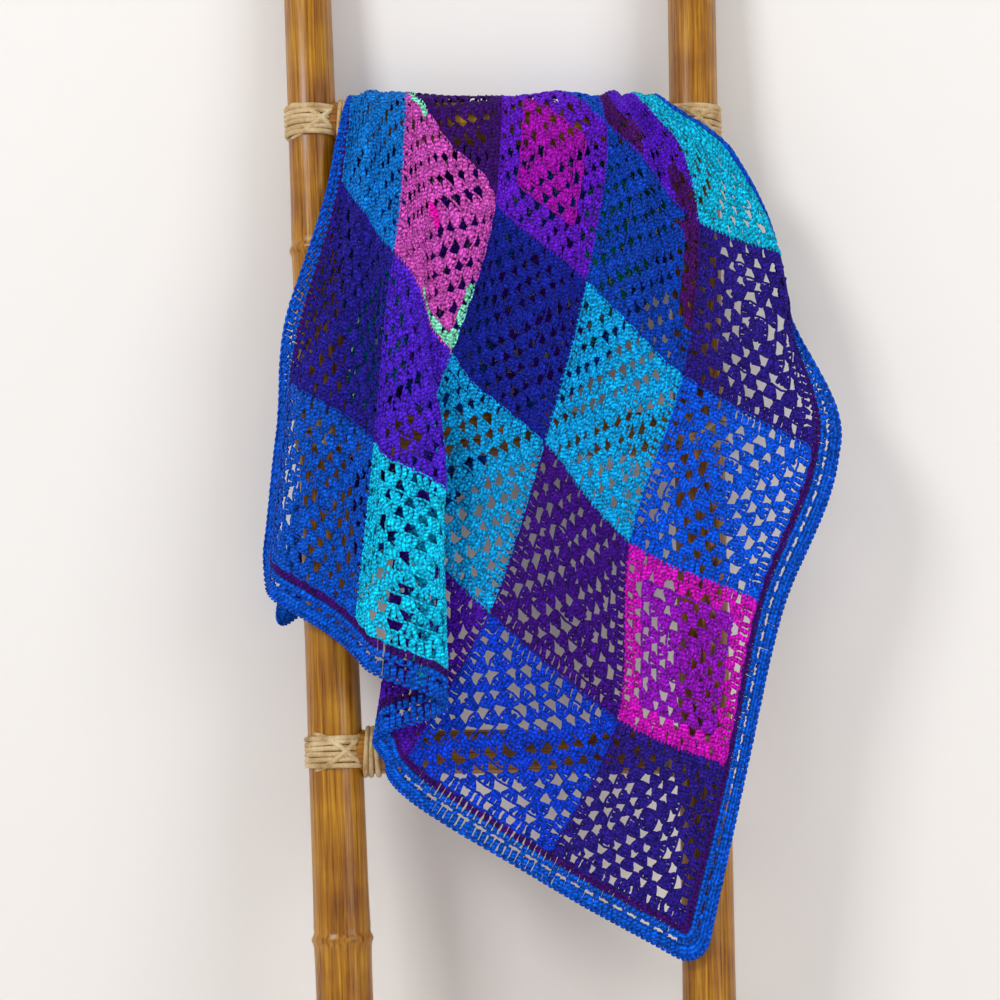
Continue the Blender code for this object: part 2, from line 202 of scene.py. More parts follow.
@dataclass(frozen=True)
class CuredBamboo:
    """Heat-cured bamboo: golden amber skin with long streaks, and a soft gloss from its wax."""

    name: str
    grain: Grain
    turn: tuple[float, float, float] = (0.0, 0.0, 0.0)  # how the culm is turned from upright, in radians
    streak_mm: float = 2.6  # width of a streak, a little coarse so that it shows
    streak_length: float = 40.0  # length of a streak, in its widths
    stain_mm: float = 60.0  # size of the patches that the heat left darker
    roughness: float = 0.3

    def make(self) -> bpy.types.Material:
        """Builds the material, with its streaks drawn out along the culm.

        Returns:
            The material.
        """
        material, tree, shader = fresh_material(self.name)
        length = self.streak_length
        scale = (1, 1, length) if self.grain is Grain.UPRIGHT else (length, 1, 1)
        place = node(tree, "TexCoord").outputs["Object"]
        drawn = node(tree, "Mapping", {"vector_type": "TEXTURE"}, Vector=place, Rotation=self.turn,
                     Scale=scale).outputs[0]
        streak = node(tree, "TexNoise", Vector=drawn, Scale=1 / (self.streak_mm * MM), Detail=5.0,
                      Roughness=0.6).outputs["Fac"]
        stain = node(tree, "TexNoise", Vector=place, Scale=1 / (self.stain_mm * MM), Detail=3.0)
        grained = node(tree, "Math", {"operation": "MULTIPLY"}, in_0=streak, in_1=0.8)
        mixed = node(tree, "Math", {"operation": "MULTIPLY_ADD"}, in_0=stain.outputs["Fac"], in_1=0.45,
                     in_2=grained.outputs[0])
        skin = node(tree, "ValToRGB", {"stops": (
            (0.44, "5E3000"), (0.58, "8E5600"), (0.68, "A87004"), (0.82, "C8921E"))}, Fac=mixed.outputs[0])
        tree.links.new(skin.outputs["Color"], shader.inputs["Base Color"])
        gloss = node(tree, "MapRange", Value=streak, in_1=NOISE_LOW, in_2=NOISE_HIGH,
                     in_3=self.roughness - 0.06, in_4=self.roughness + 0.14)
        tree.links.new(gloss.outputs[0], shader.inputs["Roughness"])
        bump = node(tree, "Bump", Height=streak, Strength=0.2, Distance=0.3 * MM)
        tree.links.new(bump.outputs[0], shader.inputs["Normal"])
        return material


@dataclass(frozen=True)
class SplitCane:
    """Split rattan cane: pale, matte and fibrous, with painted shade that makes it a little darker in the
    dips of its fibre bump.
    """

    name: str
    fibre_mm: float = 1.2
    patch_mm: float = 14.0
    roughness: float = 0.7

    def make(self) -> bpy.types.Material:
        """Builds the material.

        Returns:
            The material.
        """
        material, tree, shader = fresh_material(self.name)
        place = node(tree, "TexCoord").outputs["Object"]
        fibre = node(tree, "TexNoise", Vector=place, Scale=1 / (self.fibre_mm * MM),
                     Detail=3.0).outputs["Fac"]
        patch = node(tree, "TexNoise", Vector=place, Scale=1 / (self.patch_mm * MM), Detail=2.0)
        # The fibre noise is also the bump's height. Its share gives the cane's fibre tone and painted shade
        # in the bump's dips.
        fibre_tone_and_painted_dip_shade = node(tree, "Math", {"operation": "MULTIPLY"}, in_0=fibre, in_1=0.4)
        mixed = node(tree, "Math", {"operation": "MULTIPLY_ADD"}, in_0=patch.outputs["Fac"], in_1=0.6,
                     in_2=fibre_tone_and_painted_dip_shade.outputs[0])
        skin = node(tree, "ValToRGB", {"stops": (
            (0.34, "9C7A4C"), (0.5, "C6A878"), (0.68, "E2CDA4"))}, Fac=mixed.outputs[0])
        tree.links.new(skin.outputs["Color"], shader.inputs["Base Color"])
        shader.inputs["Roughness"].default_value = self.roughness
        bump = node(tree, "Bump", Height=fibre, Strength=0.4, Distance=0.5 * MM)
        tree.links.new(bump.outputs[0], shader.inputs["Normal"])
        return material


@dataclass(frozen=True)
class PlainPaint:
    """Flat wall and floor paint, seen from the front only, so that a view from behind the wall is open."""

    name: str
    colour: str

    def make(self) -> bpy.types.Material:
        """Builds the material.

        Returns:
            The material.
        """
        material, tree, shader = fresh_material(self.name)
        shader.inputs["Base Color"].default_value = linear(self.colour)
        shader.inputs["Roughness"].default_value = 0.9
        clear = node(tree, "BsdfTransparent").outputs[0]
        behind = node(tree, "NewGeometry").outputs["Backfacing"]
        seen = node(tree, "MixShader", in_0=behind, in_1=shader.outputs[0], in_2=clear)
        tree.links.new(seen.outputs[0], tree.nodes["Material Output"].inputs["Surface"])
        return material


# ---------------------------------------------------------------- the ladder's lines


@dataclass(frozen=True)
class RailLine:
    """A rail's axis and radius at the floor and at its top, in the ladder's own frame, in metres."""

    name: str
    side: int  # -1 on the left, 1 on the right
    x_floor: float
    x_top: float
    r_floor: float
    r_top: float
    nodes: tuple[float, ...]  # heights of the culm's rings
    squeeze_from: float  # how far out the cloth on the rung starts to be drawn in, away from this rail
    squeeze_reach: float  # how far out that cloth would otherwise reach

    def x(self, z: float) -> float:
        """Where the axis is across the ladder, at a height."""
        return self.x_floor + (self.x_top - self.x_floor) * z / RAIL_TOP

    def radius(self, z: float) -> float:
        """The radius at a height."""
        return self.r_floor + (self.r_top - self.r_floor) * z / RAIL_TOP

    def point(self, z: float) -> Vector:
        """The axis at a height, in the frame."""
        return Vector((self.x(z), (z - TOP_RUNG_Z) * math.tan(LEAN), z)) + Vector(STANCE)

    def turn(self) -> Quaternion:
        """The turn that stands a culm along the rail."""
        return (self.point(RAIL_TOP) - self.point(0)).to_track_quat("Z", "Y")


RAILS = (
    RailLine("left_rail", -1, -0.124, -0.190, 0.0284, 0.0225, (1.184, 0.857, 0.530, 0.205), 0.140, 0.160),
    RailLine("right_rail", 1, 0.200, 0.185, 0.0256, 0.0230, (1.062, 0.742, 0.450, 0.080), 0.080, 0.192),
)


# ---------------------------------------------------------------- the drape


@dataclass(frozen=True)
class Seam:
    """A seam between columns of squares, in mm, at the row seams 0 (front hem) to 6."""

    across: tuple[float, ...]
    drop: tuple[float, ...]


@dataclass(frozen=True)
class Fold:
    """One lengthwise fold. Places are in squares from the right edge, depths and leans in mm."""

    name: str
    at_hem: float
    at_rung: float
    half_hem: float  # half the fold's width, in squares
    half_rung: float
    depth: tuple[float, float, float]  # forwards, at the hem, in the middle and at the rung
    lean: tuple[float, float, float]  # sideways, at the same places
    hem_drop: float  # how far below the rung the hem's values are reached, in metres
    roll: float  # how far the depth's middle is to one side of the fold's, and the lean's to the other
    spread: float  # how much wider the depth reaches than the lean


SEAMS = (
    Seam((170, 209, 241, 294, 296, 182, 200), (756, 609, 456, 313, 134, -32, -190)),
    Seam((48, 110, 122, 173, 186, 140, 148), (690, 566, 402, 245, 99, -61, -214)),
    Seam((-84, -9, 42, 82, 104, 82, 84), (602, 468, 309, 155, 2, -150, -298)),
    Seam((-93, -94, -52, -7, 2, -6, -10), (540, 377, 224, 78, -78, -226, -370)),
    Seam((-133, -116, -102, -90, -88, -93, -105), (474, 307, 130, -40, -187, -330, -470)),
    Seam((-220, -200, -150, -144, -155, -178, -200), (417, 250, 58, -122, -262, -400, -535)),
)

FOLDS = (
    Fold("left roll", 5.22, 5.22, 0.40, 0.30, (-30, 0, 0), (14, 0, 0), 0.30, 0.0, 1.0),
    Fold("left lobe", 4.66, 4.62, 0.45, 0.30, (6, 14, 18), (0, 0, 0), 0.45, 0.0, 1.0),
    Fold("main ridge", 3.42, 4.06, 0.50, 0.34, (38, 32, 14), (52, 10, 2), 0.36, 0.10, 1.8),
    Fold("hem valley", 2.72, 2.86, 0.45, 0.30, (0, 0, 0), (-22, 0, 0), 0.62, 0.0, 1.0),
    Fold("left lobe of the third square", 3.20, 3.66, 0.30, 0.24, (0, 8, 2), (0, 0, 0), 0.45, 0.0, 1.0),
    Fold("right lobe of the third square", 2.86, 3.28, 0.34, 0.28, (0, 16, 0), (0, 8, 12), 0.40, 0.05, 1.2),
    Fold("middle lobe", 1.82, 2.47, 0.50, 0.40, (4, 12, 16), (0, 0, 0), 0.60, 0.0, 1.0),
    Fold("ruffle", 1.22, 1.66, 0.45, 0.30, (2, 14, 20), (0, 0, 0), 0.60, 0.0, 1.0),
    Fold("right lobe", 0.66, 0.85, 0.45, 0.40, (4, 14, 12), (0, 0, 4), 0.60, 0.04, 1.1),
    Fold("turned corner", 1.00, 1.05, 0.45, 0.60, (0, 0, 0), (0, 0, 5), 0.33, 0.0, 1.0),
    Fold("right roll", -0.20, -0.20, 0.50, 0.60, (0, -32, 6), (0, -52, -4), 0.31, 0.0, 1.0),
)


def smooth(t: np.ndarray | float) -> np.ndarray:
    """An even step from 0 to 1."""
    t = np.clip(t, 0, 1)
    return t * t * (3 - 2 * t)


def risen(value: np.ndarray, span: tuple[float, float]) -> np.ndarray:
    """An even step from 0 to 1 that begins at a span's start and takes its length."""
    return smooth((value - span[0]) / span[1])


def through(rows: np.ndarray, t: np.ndarray, pick: np.ndarray | None = None) -> np.ndarray:
    """A smooth curve through the rows of a table, straight past its ends.

    Args:
        rows: the table.
        t: places along it, a row at each whole number.
        pick: which column each place reads, where the rows have columns.
    Returns:
        The value at each place.
    """
    last = len(rows) - 1
    i = np.clip(np.floor(t).astype(int), 0, last - 1)
    f = t - i
    g = np.clip(f, 0, 1)
    more = np.concatenate([2 * rows[:1] - rows[1:2], rows, 2 * rows[-1:] - rows[-2:-1]])
    a, b, c, d = (more[i + k] if pick is None else more[i + k, pick] for k in range(4))
    curve = 2 * b + (c - a) * g + (2 * a - 5 * b + 4 * c - d) * g**2 + (3 * b - a - 3 * c + d) * g**3
    return 0.5 * (curve + (f - g) * np.where(f < 0, c - a, d - b))


@dataclass(frozen=True)
class Drape:
    """How the blanket hangs: its own seams and folds, its bend over the rung and its way past the rails.

    All sizes are in metres. A span is where a change begins along the cloth, and how long it takes.
    """

    rung_bend: float = 0.0253  # radius of the bend over the rung
    front_bend: float = 0.032  # how far the cloth hangs in front of the rung's middle
    bend_span: tuple[float, float] = (-0.01, 0.05)  # from the one to the other
    mid_drop: float = 0.17  # how far below the rung a fold's middle value holds
    crest: float = 0.042  # how far over the rung the folds start to open out again
    crest_flat: float = 0.5  # how much the folds are pressed flat over the rung
    flat_span: tuple[float, float] = (0.0, 0.02)
    behind_span: tuple[float, float] = (0.0, 0.06)  # from the front's folds to those behind the rung
    fold_back: float = 0.45  # how much shallower the folds are behind the rung
    lean_back: float = 0.8  # how much less they lean there
    crest_rise: float = 0.45  # how much of a fold's depth lifts it off the rung
    rail_clear: float = 0.0307  # nearest that the cloth comes to a rail's axis
    rail_near: float = 0.040  # how far from that axis the cloth is still held off
    near_span: tuple[float, float] = (-0.03, 0.065)  # where the cloth is drawn in between the rails
    beside_span: tuple[float, float] = (-0.06, 0.03)  # where it is held off them
    gone_span: tuple[float, float] = (0.105, 0.04)  # where both end, behind the rung

    def from_seams(self, column: str, u: np.ndarray, v: np.ndarray) -> np.ndarray:
        """Reads the seam table.

        Args:
            column: which of its columns.
            u: squares from the right edge.
            v: squares from the front hem.
        Returns:
            The values at those places, in metres.
        """
        table = np.array([getattr(seam, column) for seam in SEAMS], float) * MM
        rows = np.stack([through(row, v) for row in table])
        return through(rows, u, np.arange(len(u)))

    def along_fold(self, height: np.ndarray, values: tuple, hem_drop: float) -> np.ndarray:
        """Blends a fold's three values down the cloth.

        Args:
            height: how far below the rung.
            values: at the hem, in the middle and at the rung, in mm.
            hem_drop: how far below the rung the first holds.
        Returns:
            The fold's size at each height.
        """
        hem, middle, rung = values
        low = middle + (hem - middle) * smooth((height - self.mid_drop) / (hem_drop - self.mid_drop))
        high = rung + (middle - rung) * smooth(height / self.mid_drop)
        return np.where(height > self.mid_drop, low, high) * MM

    def folded(self, u: np.ndarray, height: np.ndarray) -> tuple[np.ndarray, np.ndarray]:
        """Adds up all the folds.

        Args:
            u: squares from the right edge.
            height: how far below the rung.
        Returns:
            The depth and the sideways lean that the folds give together.
        """
        depth, lean = np.zeros_like(u), np.zeros_like(u)
        for fold in FOLDS:
            down = smooth(height / fold.hem_drop)
            half = fold.half_rung + (fold.half_hem - fold.half_rung) * down
            off = u - (fold.at_rung + (fold.at_hem - fold.at_rung) * down)
            out = smooth(1 - np.abs(off - fold.roll) / (half * fold.spread))
            side = smooth(1 - np.abs(off + fold.roll) / half)
            depth = depth + out * self.along_fold(height, fold.depth, fold.hem_drop)
            lean = lean + side * self.along_fold(height, fold.lean, fold.hem_drop)
        return depth, lean

    def off_the_rails(self, x: np.ndarray, y: np.ndarray, over: np.ndarray) -> tuple[np.ndarray, np.ndarray]:
        """Draws the cloth in where it passes over the rung, and holds it off the rails beside it.

        Args:
            x: places across the ladder.
            y: places from front to back.
            over: how far over the rung, along the cloth.
        Returns:
            The places across and from front to back that the rails leave it.
        """
        gone = 1 - risen(over, self.gone_span)
        near = risen(over, self.near_span) * gone
        beside = risen(over, self.beside_span) * gone
        for rail in RAILS:
            axis = rail.x(TOP_RUNG_Z)
            room = abs(axis) - self.rail_clear - rail.squeeze_from
            past = np.clip(x * rail.side - rail.squeeze_from, 0, None)
            x = x - rail.side * near * past * (1 - room / (rail.squeeze_reach - rail.squeeze_from))
            off = np.hypot(x - axis, y)
            nearer = np.clip(off / self.rail_near, 0, 1)
            held = self.rail_clear + (self.rail_near - self.rail_clear) * nearer ** 3
            more = beside * np.clip(held / np.maximum(off, 1e-6) - 1, 0, None)
            x, y = x + more * (x - axis), y + more * y
        return x, y

    def place(self, u: np.ndarray, v: np.ndarray) -> np.ndarray:
        """Finds the middle of the cloth.

        Args:
            u: squares from the right edge.
            v: squares from the front hem.
        Returns:
            The points in the frame.
        """
        x, drop = self.from_seams("across", u, v), self.from_seams("drop", u, v)
        height = np.abs(drop + self.crest) - self.crest
        depth, lean = self.folded(u, height)
        over = -drop
        behind = risen(over, self.behind_span)
        flat = 1 - self.crest_flat * risen(over, self.flat_span) * (1 - behind)
        depth = depth * (1 - self.fold_back * behind) * flat
        x = x + lean * (1 - self.lean_back * behind)
        bend = self.rung_bend + (self.front_bend - self.rung_bend) * risen(height, self.bend_span)
        bend = np.where(over > self.crest, self.rung_bend, bend)
        turn = np.clip(over / self.rung_bend, 0, math.pi)
        y = -(bend + depth) * np.cos(turn)
        z = np.where(over < 0, over, (self.rung_bend + self.crest_rise * depth) * np.sin(turn))
        z = np.where(over > math.pi * self.rung_bend, math.pi * self.rung_bend - over, z)
        x, y = self.off_the_rails(x, y, over)
        y = y + np.where(over < 0, over * math.tan(LEAN), 0)
        return np.stack([x, y, TOP_RUNG_Z + z], -1) + STANCE

    def hang(self, flat: np.ndarray) -> tuple[np.ndarray, np.ndarray]:
        """Hangs points of the flat blanket.

        Args:
            flat: mm across from the right edge, along from the front hem, and out of the cloth.
        Returns:
            The points in metres, and the way out of the cloth at each.
        """
        shape = flat.shape[:-1]
        u, v = flat[..., 0].ravel() / SQUARE, flat[..., 1].ravel() / SQUARE
        step = 0.01  # of a square, to each side, for the slope
        by_u = self.place(u + step, v) - self.place(u - step, v)
        by_v = self.place(u, v + step) - self.place(u, v - step)
        out = np.cross(by_v, by_u)
        out = out / np.linalg.norm(out, axis=1, keepdims=True)
        points = self.place(u, v) + out * flat[..., 2].ravel()[:, None] * MM
        return points.reshape(*shape, 3), out.reshape(*shape, 3)


# ---------------------------------------------------------------- yarn


@dataclass
class YarnBall:
    """Gathers strands of yarn that share a piece, and winds them into one mesh."""

    drape: Drape
    corners: list[np.ndarray] = field(default_factory=list)
    faces: list[list[int]] = field(default_factory=list)
    dyes: list[np.ndarray] = field(default_factory=list)
    strand: list[np.ndarray] = field(default_factory=list)  # mm along and turns round the yarn, a face corner
    count: int = 0
    ring_step: float = 3.0  # mm that a ring's last step is taken to be

    def lay(self, middles: np.ndarray, radii: np.ndarray, dye: np.ndarray, sides: int = 4,
            ring: bool = False, squash: float = 1.0) -> None:
        """Lays a batch of strands of one make.

        Args:
            middles: flat points of each strand in mm, strands by points by 3.
            radii: yarn radius in mm, one a point or one a strand and point.
            dye: linear colour of each strand, strands by 3, or of each of its points, strands by points by 3.
            sides: sides of the yarn's section.
            ring: whether each strand closes on itself.
            squash: how thick the yarn lies for its width.
        """
        strands, points = middles.shape[:2]
        hung, out = self.drape.hang(middles)
        if ring:
            way = np.roll(hung, -1, axis=1) - np.roll(hung, 1, axis=1)
        else:
            way = np.gradient(hung, axis=1)
        way = way / np.maximum(np.linalg.norm(way, axis=2, keepdims=True), 1e-9)
        side = np.cross(way, out)
        side = side / np.maximum(np.linalg.norm(side, axis=2, keepdims=True), 1e-9)
        face_out = np.cross(side, way)
        turn = np.arange(sides) / sides * 2 * math.pi
        thick = np.broadcast_to(radii, (strands, points))[..., None, None] * MM
        around = np.cos(turn)[:, None] * side[:, :, None]
        around = around + squash * np.sin(turn)[:, None] * face_out[:, :, None]
        corners = hung[:, :, None] + thick * around
        number = np.arange(strands * points * sides).reshape(strands, points, sides) + self.count
        after = np.roll(number, -1, axis=1) if ring else number[:, 1:]
        before = number if ring else number[:, :-1]
        quads = np.stack([before, np.roll(before, -1, axis=2), np.roll(after, -1, axis=2), after], -1)
        length = np.concatenate([np.zeros((strands, 1)),
                                 np.linalg.norm(np.diff(middles, axis=1), axis=2).cumsum(axis=1)], axis=1)
        low, high = length[:, :-1], length[:, 1:]
        if ring:
            low, high = length, np.concatenate([high, length[:, -1:] + self.ring_step], axis=1)
        wound = np.arange(sides + 1) / sides
        spans = quads.shape[1]
        uv = np.empty((strands, spans, sides, 4, 2))
        uv[..., 0, 0] = uv[..., 1, 0] = low[:, :, None]
        uv[..., 2, 0] = uv[..., 3, 0] = high[:, :, None]
        uv[..., 0, 1] = uv[..., 3, 1] = wound[:-1]
        uv[..., 1, 1] = uv[..., 2, 1] = wound[1:]
        self.faces += quads.reshape(-1, 4).tolist()
        self.strand.append(uv.reshape(-1, 2))
        if not ring:
            for end in (number[:, 0, ::-1], number[:, -1]):
                self.faces += end.tolist()
                self.strand.append(np.zeros((strands * sides, 2)))
        self.corners.append(corners.reshape(-1, 3))
        shown = dye[:, None, None] if dye.ndim == 2 else dye[:, :, None]
        self.dyes.append(np.broadcast_to(shown, (strands, points, sides, 3)).reshape(-1, 3))
        self.count += strands * points * sides

    def wind(self, name: str, finish: bpy.types.Material) -> bpy.types.Object:
        """Makes the mesh.

        Args:
            name: the piece's name.
            finish: its yarn.
        Returns:
            The new piece.
        """
        mesh = bpy.data.meshes.new(name)
        mesh.from_pydata(np.concatenate(self.corners).tolist(), [], self.faces)
        colour = mesh.attributes.new("dye", "FLOAT_COLOR", "POINT")
        dyes = np.concatenate(self.dyes)
        colour.data.foreach_set("color", np.concatenate([dyes, np.ones((len(dyes), 1))], axis=1).ravel())
        layer = mesh.uv_layers.new(name="strand")
        layer.uv.foreach_set("vector", np.concatenate(self.strand).ravel())
        mesh.materials.append(finish)
        mesh.shade_smooth()
        mesh.validate()
        piece = bpy.data.objects.new(name, mesh)
        bpy.context.scene.collection.objects.link(piece)
        log.info("%s: %d triangles", name, sum(len(p.vertices) - 2 for p in mesh.polygons))
        return piece


def dyes_of(colours: list[str]) -> np.ndarray:
    """Turns a list of sRGB hex colours to rows of linear colour."""
    return np.array([linear(colour)[:3] for colour in colours])


def varied(dye: np.ndarray, chance: np.random.Generator) -> np.ndarray:
    """Makes each strand, a row of dye, a little lighter or darker than the next."""
    return dye * np.exp(chance.normal(0, UNEVEN_DYE, (len(dye), 1)))


def of_one(colour: str, count: int, chance: np.random.Generator) -> np.ndarray:
    """The dyes of strands of one sRGB hex colour, each a little lighter or darker than the next."""
    return varied(np.repeat(dyes_of([colour]), count, axis=0), chance)


def lifted(flat: np.ndarray, lift: np.ndarray) -> np.ndarray:
    """Gives strands that lie flat one lift out of the cloth, point by point."""
    return np.concatenate([flat, np.broadcast_to(lift[None, :, None], (len(flat), len(lift), 1))], axis=2)


def compass() -> list[tuple[np.ndarray, np.ndarray]]:
    """The way out and the way on along each of a square's four sides."""
    outs = [np.array([math.sin(side * math.pi / 2), math.cos(side * math.pi / 2)]) for side in range(4)]
    return [(out, np.array([out[1], -out[0]])) for out in outs]


@dataclass(frozen=True)
class Patch:
    """The colours of one square, from its centre to its last round."""

    centre: str
    outer: str = ""
    outer_from: int = 8  # the round at which the outer colour begins
    last: str = ""
    last_spans: tuple[tuple[float, float], ...] = ()  # degrees round the square that the last ball reaches
    last_from: int = 7  # the round at which the last ball begins
    spot: str = ""  # the colour of a part of the first round
    spot_to: float = 200.0  # degrees round the square that it reaches

    def of_round(self, number: int) -> str:
        """The colour of a round, counted from 1."""
        return self.outer if self.outer and number >= self.outer_from else self.centre

    def of_stitches(self, number: np.ndarray, flat: np.ndarray) -> np.ndarray:
        """Linear colours of stitches.

        Args:
            number: the round of each.
            flat: the place of each about the square's middle.
        Returns:
            A row of three for each stitch.
        """
        dye = dyes_of([self.of_round(r) for r in number])
        heading = np.degrees(np.arctan2(flat[:, 1], flat[:, 0])) % 360
        for low, high in self.last_spans:
            dye[(number >= self.last_from) & (heading > low) & (heading < high)] = linear(self.last)[:3]
        if self.spot:
            dye[(number == 1) & (heading < self.spot_to)] = linear(self.spot)[:3]
        return dye


# Squares from the right edge to the left, a row at a time from the front hem.
PATCHWORK = (
    (Patch("2A1A86"), Patch("0A3CCC"), Patch("4A12A6"), Patch("0AC8F0"), Patch("0854C6")),
    (Patch("9414BC", "CC12BC", 6), Patch("3C0D80"), Patch("08A0E0"), Patch("4E20CA"), Patch("241C90")),
    (Patch("0656E0"), Patch("08A6E6"), Patch("142298"),
     Patch("D052BC", last="86ECC4", last_spans=((188, 272), (42, 66)), spot="F010B8"), Patch("0878D2")),
    (Patch("2A1A86"), Patch("0842B4", last="4A0E66", last_spans=((128, 205),), last_from=6),
     Patch("A80CB4", "6418C8", 5), Patch("3C0C6C"), Patch("0A50D4")),
    (Patch("0AB8DE"), Patch("5A18C8", last="4A0E66", last_spans=((285, 345), (212, 240)), last_from=5),
     Patch("0A50C8"), Patch("5A1FC0"), Patch("0AA0E0")),
    (Patch("0A9C9C"), Patch("10A898"), Patch("4B12A8"), Patch("0A54C8"), Patch("2E1A86")),
)


@dataclass
class GrannySquares:
    """The squares: rounds of three-stitch clusters, each round's clusters worked into the last one's gaps.

    Sizes are in mm.
    """

    drape: Drape
    finish: bpy.types.Material
    rounds: int = 7
    in_cluster: int = 3
    foot_spread: float = 1.7  # between the feet of a cluster's stitches
    head_spread: float = 5.6  # between their heads
    last_spread: tuple[float, float] = (4.9, 6.3)  # the same two in the last round, which is nearly closed
    last_fatter: float = 1.10  # how much fatter the last round's stitches lie
    foot_under: float = 1.8  # how far a stitch's foot reaches under the round before
    height_more: float = 1.4  # how much longer than its round a stitch is
    centre_hole: float = 1.2  # from the square's middle to the first round's feet
    yarn: float = 2.75  # half the width of a stitch at its fattest
    fat: tuple[float, ...] = (0.56, 0.96, 0.88, 1.04, 0.72)  # from foot to head, as shares of that
    lie: float = 0.36  # how thick a stitch lies for its width
    edge_yarn: float = 1.1  # radius of the chain that tops a round
    edge_in: float = 0.9  # how far inside its round that chain runs
    whip_yarn: float = 1.1
    whip_pitch: float = 4.8
    whip_loop: tuple[float, float, float] = (2.5, 1.3, 1.8)  # half the reach, slant and height of a sewn loop
    wander: float = 1.1  # how far a cluster strays
    stray: float = 0.35  # how far a stitch strays from its cluster
    loop_stray: float = 0.3  # how far a loop strays, in the chains and the seams
    sides: int = 5

    @property
    def round_width(self) -> float:
        """Width of one round."""
        return SQUARE / 2 / self.rounds

    def stitches(self) -> tuple[np.ndarray, np.ndarray]:
        """Lays out the posts of one square, about its middle.

        Returns:
            Post middle lines, stitches by points by 3, and the round of each.
        """
        posts, number = [], []
        h = self.round_width
        climb = np.array([0.0, 0.22, 0.5, 0.78, 1.0])
        out = np.array([-0.9, 0.5, 0.9, 0.7, 0.2])
        for r in range(1, self.rounds + 1):
            feet, heads = (self.foot_spread, self.head_spread) if r < self.rounds else self.last_spread
            for way_out, way_on in compass():
                for k in range(r):
                    centre = (2 * k - r + 1) * h
                    for j in range(self.in_cluster):
                        lean = j - (self.in_cluster - 1) / 2
                        foot, head = centre + lean * feet, centre + lean * heads
                        at = foot + (head - foot) * smooth(climb) ** 0.8
                        far = (r - 1) * h - self.foot_under + climb * (h + self.height_more)
                        far[0] = max(far[0], self.centre_hole)
                        flat = at[:, None] * way_on + far[:, None] * way_out
                        posts.append(np.concatenate([flat, out[:, None]], axis=1))
                        number.append(r)
        return np.array(posts), np.array(number)

    def edges(self, r: int) -> np.ndarray:
        """Lays out the chain that tops a round, about the square's middle.

        Args:
            r: the round, counted from 1.
        Returns:
            The points of a closed line.
        """
        h = self.round_width
        reach = r * h - self.edge_in
        spread = self.head_spread
        line = []
        for way_out, way_on in compass():
            for k in range(r):
                centre = (2 * k - r + 1) * h
                for at, far, out in ((-spread, 0, 1.3), (0, 0.7, 1.7), (spread, 0, 1.3), (h, -0.7, 0.3)):
                    place = min(centre + at, reach - 1.0)
                    line.append((*(place * way_on + (reach + far) * way_out), out))
        return np.array(line)

    def square(self, ball: YarnBall, column: int, row: int, chance: np.random.Generator) -> None:
        """Crochets one square.

        Args:
            ball: the piece that it goes into.
            column: its place from the right edge, counted from 0.
            row: its place from the front hem, counted from 0.
            chance: the seeded source of chance.
        """
        patch = PATCHWORK[row][column]
        middle = np.array([(column + 0.5) * SQUARE, (row + 0.5) * SQUARE, 0])
        posts, number = self.stitches()
        clusters = len(posts) // self.in_cluster
        wander = chance.normal(0, self.wander, (clusters, 1, 2)).repeat(self.in_cluster, axis=0)
        posts[:, 1:, :2] += wander + chance.normal(0, self.stray, (len(posts), 4, 2))
        posts[:, :, 2] += chance.normal(0, 0.25, (len(posts), 1))
        radii = np.array(self.fat) * self.yarn * (1 + chance.normal(0, 0.06, (len(posts), 1)))
        radii[number == self.rounds] *= self.last_fatter
        dye = patch.of_stitches(number, posts[:, 2, :2])
        ball.lay(posts + middle, radii, varied(dye, chance), self.sides, squash=self.lie)
        for r in range(1, self.rounds + 1):
            line = self.edges(r)
            line[:, :2] += chance.normal(0, self.loop_stray, (len(line), 2))
            dye = patch.of_stitches(np.full(len(line), r), line[:, :2])
            ball.lay((line + middle)[None], np.full(len(line), self.edge_yarn), dye[None], ring=True)

    def whip(self, ball: YarnBall, start: tuple[float, float], end: tuple[float, float], colour: str,
             chance: np.random.Generator) -> None:
        """Sews a seam with slanted loops.

        Args:
            ball: the piece that it goes into.
            start: the corner of a square at which it begins, across and along the blanket.
            end: the corner at which it ends.
            colour: the yarn's sRGB hex colour.
            chance: the seeded source of chance.
        """
        start, way = np.array(start), np.subtract(end, start)
        length = np.linalg.norm(way)
        count = int(length / self.whip_pitch)
        on = way / length
        across = np.array([-on[1], on[0]])
        places = start + on * ((np.arange(count) + 0.5) * length / count)[:, None]
        turn = np.arange(6) / 6 * 2 * math.pi
        reach, slant, lift = self.whip_loop
        loop = (reach * np.cos(turn))[:, None] * across + (slant * np.cos(turn))[:, None] * on
        loops = lifted(places[:, None] + loop, lift * np.sin(turn))
        loops[..., :2] += chance.normal(0, self.loop_stray, (count, 1, 2))
        ball.lay(loops, np.full(6, self.whip_yarn), of_one(colour, count, chance), ring=True)

    def row(self, row: int) -> bpy.types.Object:
        """Crochets a row of squares and joins them to each other and to the row below.

        Args:
            row: its place from the front hem, counted from 0.
        Returns:
            The new piece.
        """
        chance = np.random.default_rng(100 + row)
        ball = YarnBall(self.drape)
        low, high = row * SQUARE, (row + 1) * SQUARE
        for column, patch in enumerate(PATCHWORK[row]):
            self.square(ball, column, row, chance)
            yarn = patch.of_round(self.rounds)
            left, right = (column + 1) * SQUARE, column * SQUARE
            if column < ACROSS - 1:
                self.whip(ball, (left, low), (left, high), yarn, chance)
            if row:
                self.whip(ball, (right, low), (left, low), yarn, chance)
        piece = ball.wind(f"squares_row_{row + 1}", self.finish)
        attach(piece, "root")
        return piece

    def build(self) -> list[bpy.types.Object]:
        """Crochets all the rows.

        Returns:
            The new pieces, from the front hem.
        """
        pieces = [self.row(row) for row in range(ALONG)]
        for piece in pieces:
            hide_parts("crochet_squares")
        return pieces


